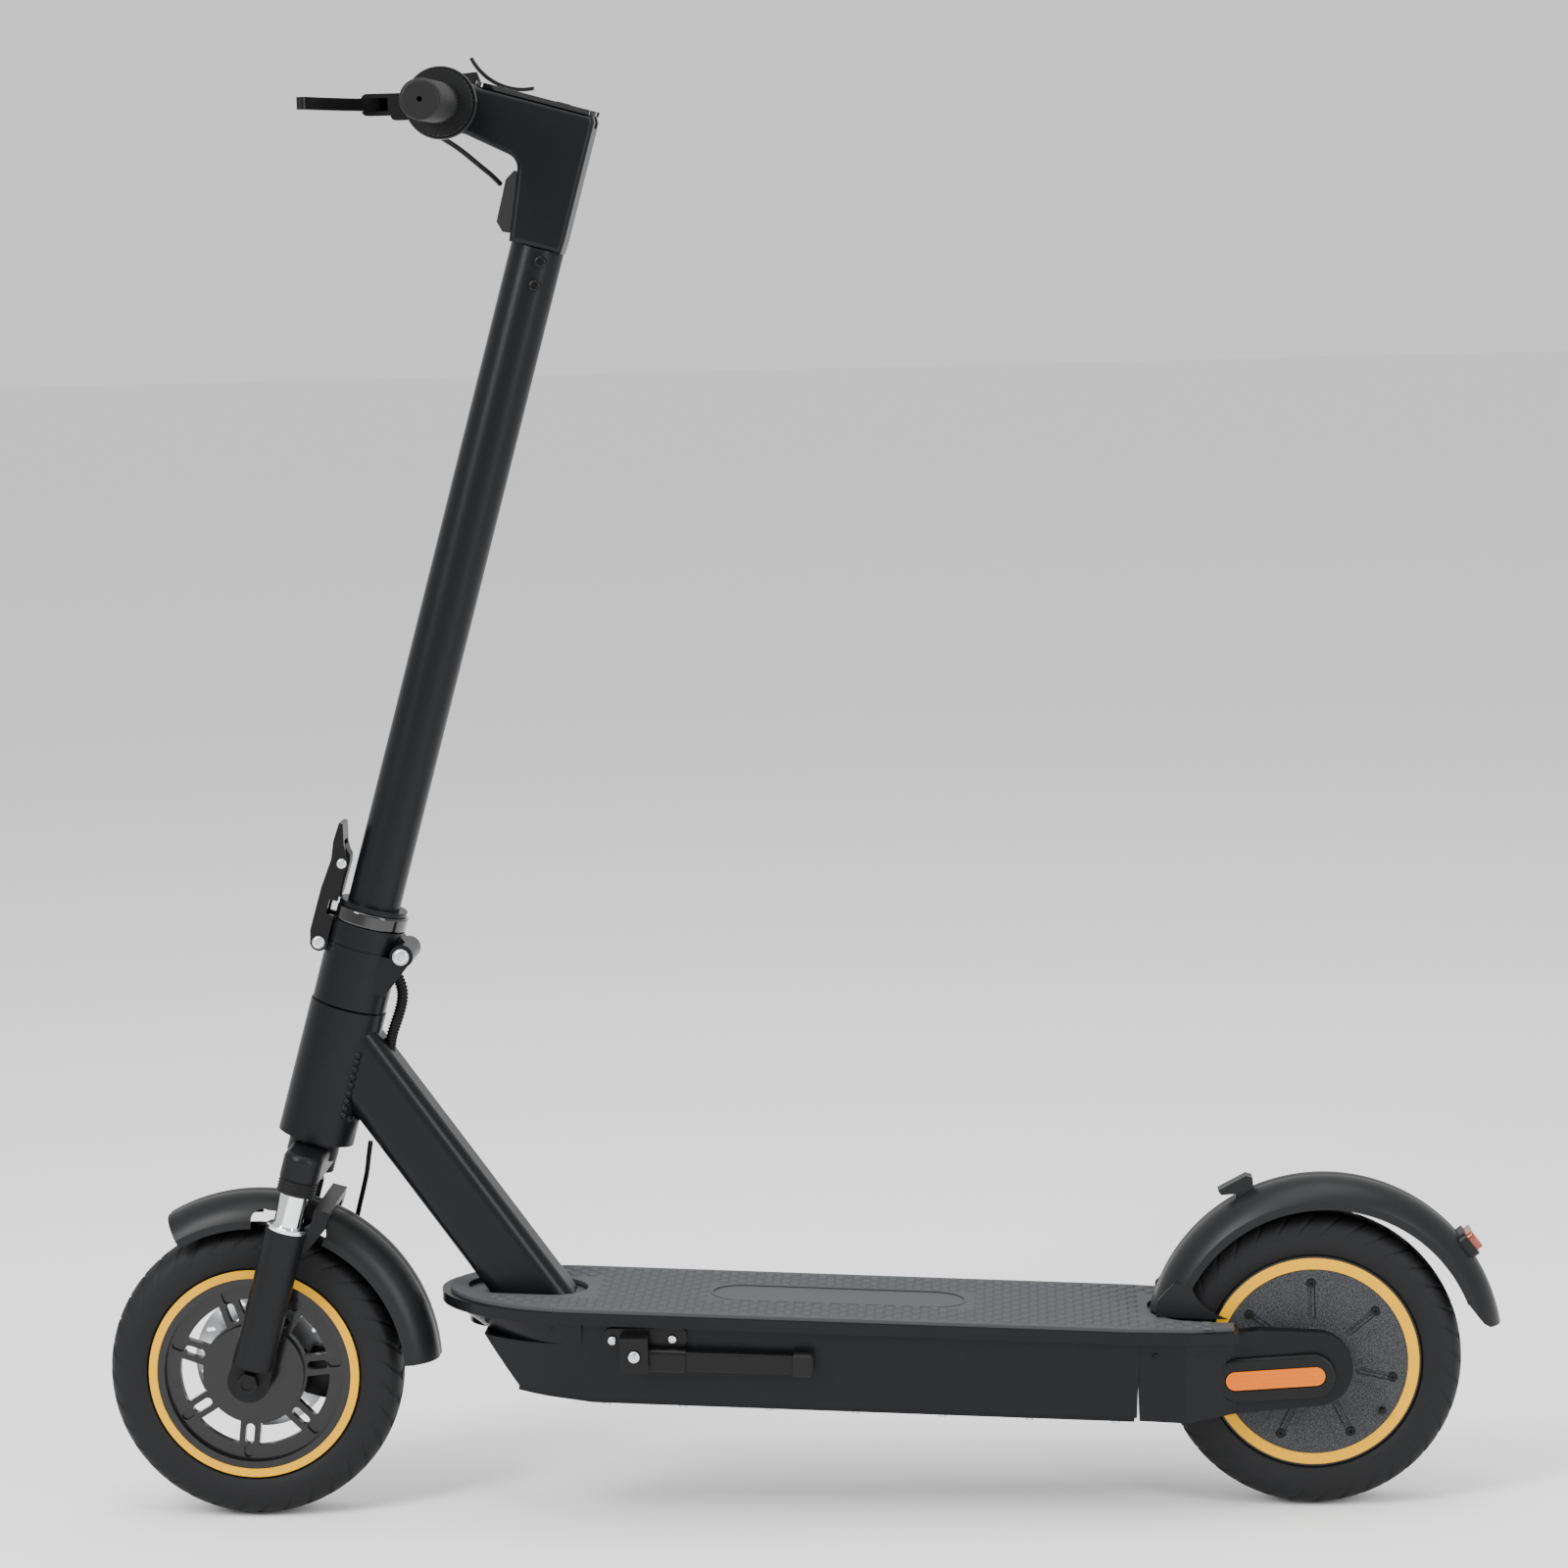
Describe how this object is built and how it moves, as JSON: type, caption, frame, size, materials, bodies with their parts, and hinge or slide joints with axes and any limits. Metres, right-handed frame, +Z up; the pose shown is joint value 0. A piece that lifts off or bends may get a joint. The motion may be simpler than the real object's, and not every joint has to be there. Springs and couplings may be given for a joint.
{
  "type": "electric kick scooter",
  "caption": "Folding electric kick scooter with a hub motor, pneumatic tyres, a telescopic front fork, a drum-shaped bell, a studded standing deck and a side stand.",
  "frame": {"origin": "on the ground, under the middle of the bounding box", "axes": "+X towards the rear wheel, +Y to the rider's right, +Z up"},
  "size_m": [1.2001, 0.472, 1.2519],
  "materials": {
    "frame_paint": "satin powder coat",
    "fork_paint": "satin",
    "black_metal": "semi-gloss",
    "steel": "satin",
    "chrome_steel": "polished",
    "hub_cast": "gloss",
    "cover_cast": "speckled matte",
    "bearing_steel": "ground",
    "tyre_rubber": "matte",
    "mat_rubber": "matte, studded",
    "soft_rubber": "matte",
    "fender_plastic": "fine satin",
    "trim_plastic": "satin",
    "gloss_black": "high gloss",
    "reflector": "prismatic",
    "lamp_red": "clear cover over an amber-red insert",
    "cable_black": "satin jacket",
    "battery_wrap": "shrink wrap",
    "board_case": "plain",
    "copper_coils": "wound copper and laminations"
  },
  "bodies": {
    "frame": {"head_tube": "frame_paint", "down_tube": "frame_paint", "deck_frame": "frame_paint", "bottom_cover": "frame_paint", "bottom_screws": "steel", "deck_mat": "mat_rubber", "nose_shroud": "frame_paint", "rear_shroud": "frame_paint", "battery_pack": "battery_wrap", "controller": "board_case", "rear_arms": "frame_paint", "rear_axle": "steel", "motor_stator": "copper_coils", "headset_bearings": "bearing_steel", "reflector_bezels": "trim_plastic", "reflectors": "reflector", "rear_fender": "fender_plastic", "fold_hook": "fender_plastic", "tail_light_lens": "lamp_red", "kickstand_bracket": "black_metal", "wiring_loom": "cable_black", "brake_cable_lower": "cable_black"},
    "rear_wheel": {"rear_tyre": "tyre_rubber", "motor_shell": "hub_cast", "motor_covers": "cover_cast", "motor_cover_screws": "black_metal", "rear_bearings": "bearing_steel"},
    "kickstand": {"kickstand_leg": "black_metal", "kickstand_foot": "soft_rubber"},
    "steer": {"fork_crown": "fork_paint", "fork_stanchions": "chrome_steel", "fork_boots": "soft_rubber", "hinge_base": "frame_paint", "hinge_pins": "steel"},
    "fork_lower": {"fork_legs": "fork_paint", "front_fender": "fender_plastic", "front_axle": "black_metal", "brake_caliper": "black_metal"},
    "front_wheel": {"front_tyre": "tyre_rubber", "front_rim": "hub_cast", "brake_disc": "steel", "front_bearings": "bearing_steel"},
    "stem": {"stem_tube": "frame_paint", "stem_foot": "frame_paint", "clamp_ring": "gloss_black", "head_casting": "frame_paint", "display": "gloss_black", "headlight": "gloss_black", "handlebar": "black_metal", "grips": "soft_rubber", "lever_perch": "black_metal", "throttle_body": "trim_plastic", "stem_screws": "black_metal", "brake_cable_upper": "cable_black"},
    "fold_lever": {"fold_lever": "black_metal"},
    "safety_catch": {"safety_catch": "trim_plastic"},
    "brake_lever": {"brake_lever": "black_metal"},
    "bell_ring": {"bell_ring": "trim_plastic"},
    "throttle": {"throttle_paddle": "trim_plastic"},
    "power_button": {"power_button": "trim_plastic"}
  },
  "joints": [
    {"name": "steering", "type": "hinge", "parent": "frame", "child": "steer", "pos_m": [-0.472, 0, 0.1275], "axis": [0.275, 0, 0.9615], "range_deg": [-50, 50], "deforming": ["wiring_loom", "brake_cable_lower"]},
    {"name": "suspension", "type": "slide", "parent": "steer", "child": "fork_lower", "axis": [0.275, 0, 0.9615], "range_m": [0, 0.025], "stiffness_N_per_m": 20000, "springref_m": -0.006},
    {"name": "front_wheel_spin", "type": "hinge", "parent": "fork_lower", "child": "front_wheel", "pos_m": [-0.472, 0, 0.1275], "axis": [0, 1, 0], "continuous": true},
    {"name": "rear_wheel_spin", "type": "hinge", "parent": "frame", "child": "rear_wheel", "pos_m": [0.44, 0, 0.1275], "axis": [0, 1, 0], "continuous": true},
    {"name": "fold", "type": "hinge", "parent": "steer", "child": "stem", "pos_m": [-0.3307, 0, 0.49065], "axis": [0, 1, 0], "range_deg": [0, 93]},
    {"name": "fold_lever_turn", "type": "hinge", "parent": "steer", "child": "fold_lever", "pos_m": [-0.40261, 0, 0.50289], "axis": [0, 1, 0], "range_deg": [-100, 0]},
    {"name": "catch_turn", "type": "hinge", "parent": "fold_lever", "child": "safety_catch", "pos_m": [-0.38048, 0, 0.5701], "axis": [0, 1, 0], "range_deg": [0, 8], "stiffness_Nm_per_rad": 0.2},
    {"name": "brake_lever_pull", "type": "hinge", "parent": "stem", "child": "brake_lever", "pos_m": [-0.31945, -0.092, 1.20793], "axis": [0, 0, 1], "range_deg": [0, 20], "stiffness_Nm_per_rad": 1},
    {"name": "bell_twist", "type": "hinge", "parent": "stem", "child": "bell_ring", "pos_m": [-0.26245, -0.11, 1.20793], "axis": [0, 1, 0], "range_deg": [0, 25], "stiffness_Nm_per_rad": 0.3},
    {"name": "throttle_press", "type": "hinge", "parent": "stem", "child": "throttle", "pos_m": [-0.249, 0.118, 1.2328], "axis": [0, 1, 0], "range_deg": [0, 10], "stiffness_Nm_per_rad": 0.3},
    {"name": "power_press", "type": "slide", "parent": "stem", "child": "power_button", "axis": [-0.275, 0, -0.9615], "range_m": [0, 0.0012], "stiffness_N_per_m": 500},
    {"name": "stand_turn", "type": "hinge", "parent": "frame", "child": "kickstand", "pos_m": [-0.1349, -0.09, 0.1579], "axis": [0, 1, 0], "range_deg": [0, 95]}
  ]
}
